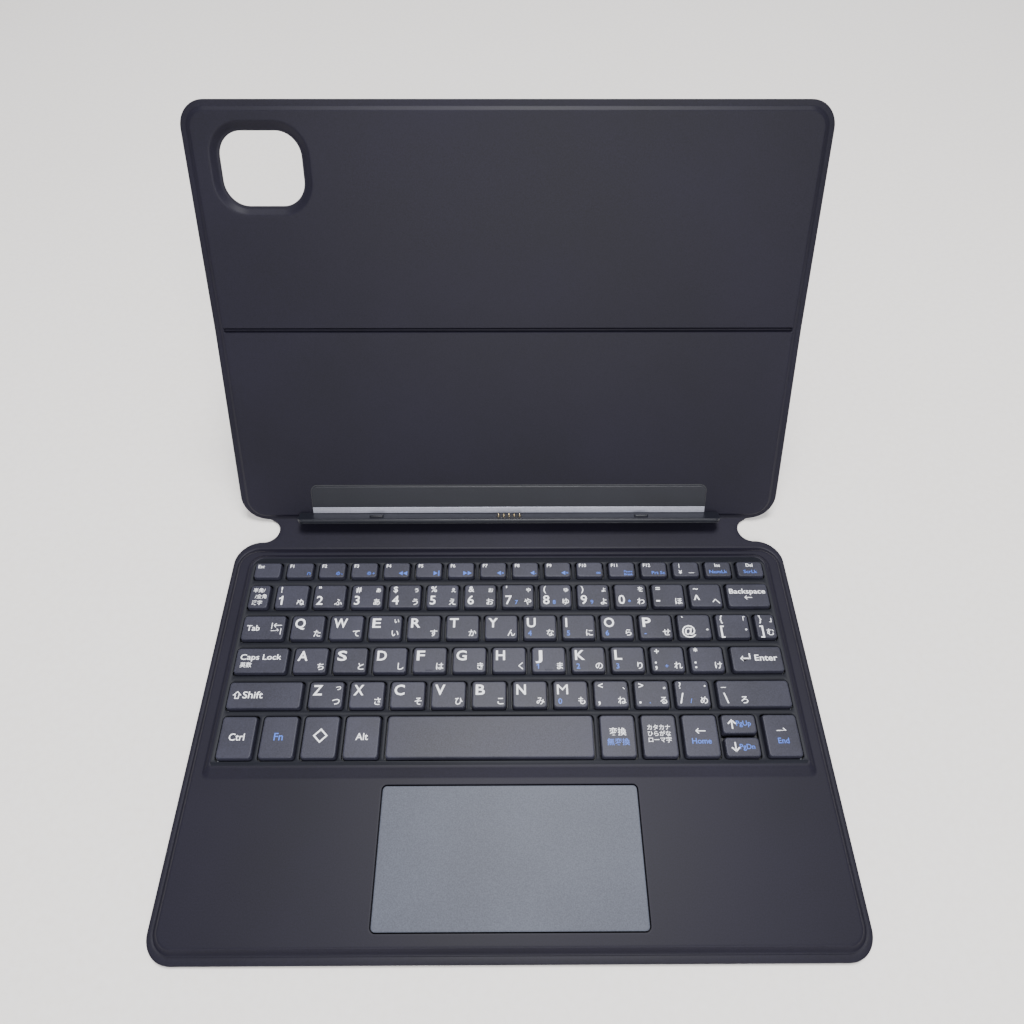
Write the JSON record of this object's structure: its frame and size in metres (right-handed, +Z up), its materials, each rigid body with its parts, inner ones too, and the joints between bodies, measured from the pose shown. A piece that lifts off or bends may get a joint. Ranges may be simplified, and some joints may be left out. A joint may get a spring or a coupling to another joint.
{
  "type": "tablet keyboard case",
  "caption": "Folding tablet case with a low-profile keyboard and touchpad deck, a hinge strip with side notches, and a creased back panel with a docking rail and a camera window.",
  "frame": {"origin": "centre of the flat underside of the keyboard deck", "axes": "+X across the case to the user's right, +Y from the palm rest to the hinge, +Z up from the table"},
  "size_m": [0.26, 0.2823, 0.1592],
  "materials": {
    "soft_skin": "soft-touch polyurethane skin, matte charcoal with a faint violet cast",
    "key_plastic": "moulded ABS key caps, fine satin grain, dark grey",
    "frame_plastic": "moulded plastic between the keys, matte dark grey",
    "pad_film": "polyester touch film, fine matte, cool light grey",
    "dock_plastic": "moulded polycarbonate, satin dark grey",
    "trim_metal": "bright satin strip",
    "gold": "gold-plated contact pins",
    "steel": "plain steel and magnet nickel",
    "board": "glass-fibre circuit board, green",
    "stiffener": "glass-fibre stiffening board, black",
    "rubber": "silicone dome sheet, translucent grey",
    "film": "polyimide flexible circuit, amber"
  },
  "bodies": {
    "base": {"base_bottom_skin": "soft_skin", "base_deck_skin": "soft_skin", "key_frame": "frame_plastic", "support_plate": "steel", "switch_membrane": "film", "dome_sheet": "rubber", "palm_stiffener": "stiffener", "control_board": "board", "touchpad_switch": "steel"},
    "spine": {"spine_outer_skin": "soft_skin", "spine_inner_skin": "soft_skin", "spine_cable": "film"},
    "back_lower": {"back_lower_outer_skin": "soft_skin", "back_lower_inner_skin": "soft_skin", "back_lower_stiffener": "stiffener", "dock_housing": "dock_plastic", "dock_cover": "dock_plastic", "dock_trim": "trim_metal", "dock_magnet_left": "steel", "dock_magnet_right": "steel", "pin_board": "board", "pin_carrier": "stiffener"},
    "back_upper": {"back_upper_outer_skin": "soft_skin", "back_upper_inner_skin": "soft_skin", "back_upper_stiffener": "stiffener"},
    "touchpad": {"touchpad": "pad_film", "touchpad_board": "board"},
    "key_esc": {"key_esc": "key_plastic"},
    "key_yen": {"key_yen": "key_plastic"},
    "key_insert": {"key_insert": "key_plastic"},
    "key_delete": {"key_delete": "key_plastic"},
    "key_kanji": {"key_kanji": "key_plastic"},
    "key_backspace": {"key_backspace": "key_plastic"},
    "key_tab": {"key_tab": "key_plastic"},
    "key_bracket": {"key_bracket": "key_plastic"},
    "key_caps": {"key_caps": "key_plastic"},
    "key_enter": {"key_enter": "key_plastic"},
    "key_shift": {"key_shift": "key_plastic"},
    "key_ro": {"key_ro": "key_plastic"},
    "key_ctrl": {"key_ctrl": "key_plastic"},
    "key_fn": {"key_fn": "key_plastic"},
    "key_home_key": {"key_home_key": "key_plastic"},
    "key_alt": {"key_alt": "key_plastic"},
    "key_space_bar": {"key_space_bar": "key_plastic"},
    "key_convert": {"key_convert": "key_plastic"},
    "key_kana": {"key_kana": "key_plastic"},
    "key_left": {"key_left": "key_plastic"},
    "key_up": {"key_up": "key_plastic"},
    "key_down": {"key_down": "key_plastic"},
    "key_right": {"key_right": "key_plastic"},
    "keys_function_row": {"keys_function_row": "key_plastic"},
    "keys_digit_row": {"keys_digit_row": "key_plastic"},
    "keys_upper_row": {"keys_upper_row": "key_plastic"},
    "keys_home_row": {"keys_home_row": "key_plastic"},
    "keys_lower_row": {"keys_lower_row": "key_plastic"},
    "pogo_pin_1": {"pogo_pin_1": "gold"},
    "pogo_pin_2": {"pogo_pin_2": "gold"},
    "pogo_pin_3": {"pogo_pin_3": "gold"},
    "pogo_pin_4": {"pogo_pin_4": "gold"},
    "pogo_pin_5": {"pogo_pin_5": "gold"}
  },
  "joints": [
    {"name": "spine_hinge", "type": "hinge", "parent": "base", "child": "spine", "pos_m": [0, 0.088, 0.0018], "axis": [1, 0, 0], "range_deg": [0, 90]},
    {"name": "panel_hinge", "type": "hinge", "parent": "spine", "child": "back_lower", "pos_m": [0, 0.1015, 0.0018], "axis": [1, 0, 0], "range_deg": [-58.7, 31.3]},
    {"name": "crease_hinge", "type": "hinge", "parent": "back_lower", "child": "back_upper", "pos_m": [0, 0.15073, 0.0793], "axis": [1, 0, 0], "range_deg": [-135, 0]},
    {"name": "touchpad_click", "type": "hinge", "parent": "base", "child": "touchpad", "pos_m": [0, -0.0272, 0.00315], "axis": [1, 0, 0], "range_deg": [0, 0.65], "stiffness_Nm_per_rad": 1.2, "springref_deg": -0.57},
    {"name": "key_esc_press", "type": "slide", "parent": "base", "child": "key_esc", "axis": [0, 0, -1], "range_m": [0, 0.0012], "stiffness_N_per_m": 400, "springref_m": -0.0008},
    {"name": "key_yen_press", "type": "slide", "parent": "base", "child": "key_yen", "axis": [0, 0, -1], "range_m": [0, 0.0012], "stiffness_N_per_m": 400, "springref_m": -0.0008},
    {"name": "key_insert_press", "type": "slide", "parent": "base", "child": "key_insert", "axis": [0, 0, -1], "range_m": [0, 0.0012], "stiffness_N_per_m": 400, "springref_m": -0.0008},
    {"name": "key_delete_press", "type": "slide", "parent": "base", "child": "key_delete", "axis": [0, 0, -1], "range_m": [0, 0.0012], "stiffness_N_per_m": 400, "springref_m": -0.0008},
    {"name": "key_kanji_press", "type": "slide", "parent": "base", "child": "key_kanji", "axis": [0, 0, -1], "range_m": [0, 0.0012], "stiffness_N_per_m": 400, "springref_m": -0.0008},
    {"name": "key_backspace_press", "type": "slide", "parent": "base", "child": "key_backspace", "axis": [0, 0, -1], "range_m": [0, 0.0012], "stiffness_N_per_m": 400, "springref_m": -0.0008},
    {"name": "key_tab_press", "type": "slide", "parent": "base", "child": "key_tab", "axis": [0, 0, -1], "range_m": [0, 0.0012], "stiffness_N_per_m": 400, "springref_m": -0.0008},
    {"name": "key_bracket_press", "type": "slide", "parent": "base", "child": "key_bracket", "axis": [0, 0, -1], "range_m": [0, 0.0012], "stiffness_N_per_m": 400, "springref_m": -0.0008},
    {"name": "key_caps_press", "type": "slide", "parent": "base", "child": "key_caps", "axis": [0, 0, -1], "range_m": [0, 0.0012], "stiffness_N_per_m": 400, "springref_m": -0.0008},
    {"name": "key_enter_press", "type": "slide", "parent": "base", "child": "key_enter", "axis": [0, 0, -1], "range_m": [0, 0.0012], "stiffness_N_per_m": 400, "springref_m": -0.0008},
    {"name": "key_shift_press", "type": "slide", "parent": "base", "child": "key_shift", "axis": [0, 0, -1], "range_m": [0, 0.0012], "stiffness_N_per_m": 400, "springref_m": -0.0008},
    {"name": "key_ro_press", "type": "slide", "parent": "base", "child": "key_ro", "axis": [0, 0, -1], "range_m": [0, 0.0012], "stiffness_N_per_m": 400, "springref_m": -0.0008},
    {"name": "key_ctrl_press", "type": "slide", "parent": "base", "child": "key_ctrl", "axis": [0, 0, -1], "range_m": [0, 0.0012], "stiffness_N_per_m": 400, "springref_m": -0.0008},
    {"name": "key_fn_press", "type": "slide", "parent": "base", "child": "key_fn", "axis": [0, 0, -1], "range_m": [0, 0.0012], "stiffness_N_per_m": 400, "springref_m": -0.0008},
    {"name": "key_home_key_press", "type": "slide", "parent": "base", "child": "key_home_key", "axis": [0, 0, -1], "range_m": [0, 0.0012], "stiffness_N_per_m": 400, "springref_m": -0.0008},
    {"name": "key_alt_press", "type": "slide", "parent": "base", "child": "key_alt", "axis": [0, 0, -1], "range_m": [0, 0.0012], "stiffness_N_per_m": 400, "springref_m": -0.0008},
    {"name": "key_space_bar_press", "type": "slide", "parent": "base", "child": "key_space_bar", "axis": [0, 0, -1], "range_m": [0, 0.0012], "stiffness_N_per_m": 400, "springref_m": -0.0008},
    {"name": "key_convert_press", "type": "slide", "parent": "base", "child": "key_convert", "axis": [0, 0, -1], "range_m": [0, 0.0012], "stiffness_N_per_m": 400, "springref_m": -0.0008},
    {"name": "key_kana_press", "type": "slide", "parent": "base", "child": "key_kana", "axis": [0, 0, -1], "range_m": [0, 0.0012], "stiffness_N_per_m": 400, "springref_m": -0.0008},
    {"name": "key_left_press", "type": "slide", "parent": "base", "child": "key_left", "axis": [0, 0, -1], "range_m": [0, 0.0012], "stiffness_N_per_m": 400, "springref_m": -0.0008},
    {"name": "key_up_press", "type": "slide", "parent": "base", "child": "key_up", "axis": [0, 0, -1], "range_m": [0, 0.0012], "stiffness_N_per_m": 400, "springref_m": -0.0008},
    {"name": "key_down_press", "type": "slide", "parent": "base", "child": "key_down", "axis": [0, 0, -1], "range_m": [0, 0.0012], "stiffness_N_per_m": 400, "springref_m": -0.0008},
    {"name": "key_right_press", "type": "slide", "parent": "base", "child": "key_right", "axis": [0, 0, -1], "range_m": [0, 0.0012], "stiffness_N_per_m": 400, "springref_m": -0.0008},
    {"name": "keys_function_row_press", "type": "slide", "parent": "base", "child": "keys_function_row", "axis": [0, 0, -1], "range_m": [0, 0.0012], "stiffness_N_per_m": 1200, "springref_m": -0.0008},
    {"name": "keys_digit_row_press", "type": "slide", "parent": "base", "child": "keys_digit_row", "axis": [0, 0, -1], "range_m": [0, 0.0012], "stiffness_N_per_m": 1200, "springref_m": -0.0008},
    {"name": "keys_upper_row_press", "type": "slide", "parent": "base", "child": "keys_upper_row", "axis": [0, 0, -1], "range_m": [0, 0.0012], "stiffness_N_per_m": 1200, "springref_m": -0.0008},
    {"name": "keys_home_row_press", "type": "slide", "parent": "base", "child": "keys_home_row", "axis": [0, 0, -1], "range_m": [0, 0.0012], "stiffness_N_per_m": 1200, "springref_m": -0.0008},
    {"name": "keys_lower_row_press", "type": "slide", "parent": "base", "child": "keys_lower_row", "axis": [0, 0, -1], "range_m": [0, 0.0012], "stiffness_N_per_m": 1200, "springref_m": -0.0008},
    {"name": "pogo_pin_1_press", "type": "slide", "parent": "back_lower", "child": "pogo_pin_1", "axis": [0, -0.5195, -0.8545], "range_m": [0, 0.0008], "stiffness_N_per_m": 400, "springref_m": -0.0005},
    {"name": "pogo_pin_2_press", "type": "slide", "parent": "back_lower", "child": "pogo_pin_2", "axis": [0, -0.5195, -0.8545], "range_m": [0, 0.0008], "stiffness_N_per_m": 400, "springref_m": -0.0005},
    {"name": "pogo_pin_3_press", "type": "slide", "parent": "back_lower", "child": "pogo_pin_3", "axis": [0, -0.5195, -0.8545], "range_m": [0, 0.0008], "stiffness_N_per_m": 400, "springref_m": -0.0005},
    {"name": "pogo_pin_4_press", "type": "slide", "parent": "back_lower", "child": "pogo_pin_4", "axis": [0, -0.5195, -0.8545], "range_m": [0, 0.0008], "stiffness_N_per_m": 400, "springref_m": -0.0005},
    {"name": "pogo_pin_5_press", "type": "slide", "parent": "back_lower", "child": "pogo_pin_5", "axis": [0, -0.5195, -0.8545], "range_m": [0, 0.0008], "stiffness_N_per_m": 400, "springref_m": -0.0005}
  ]
}
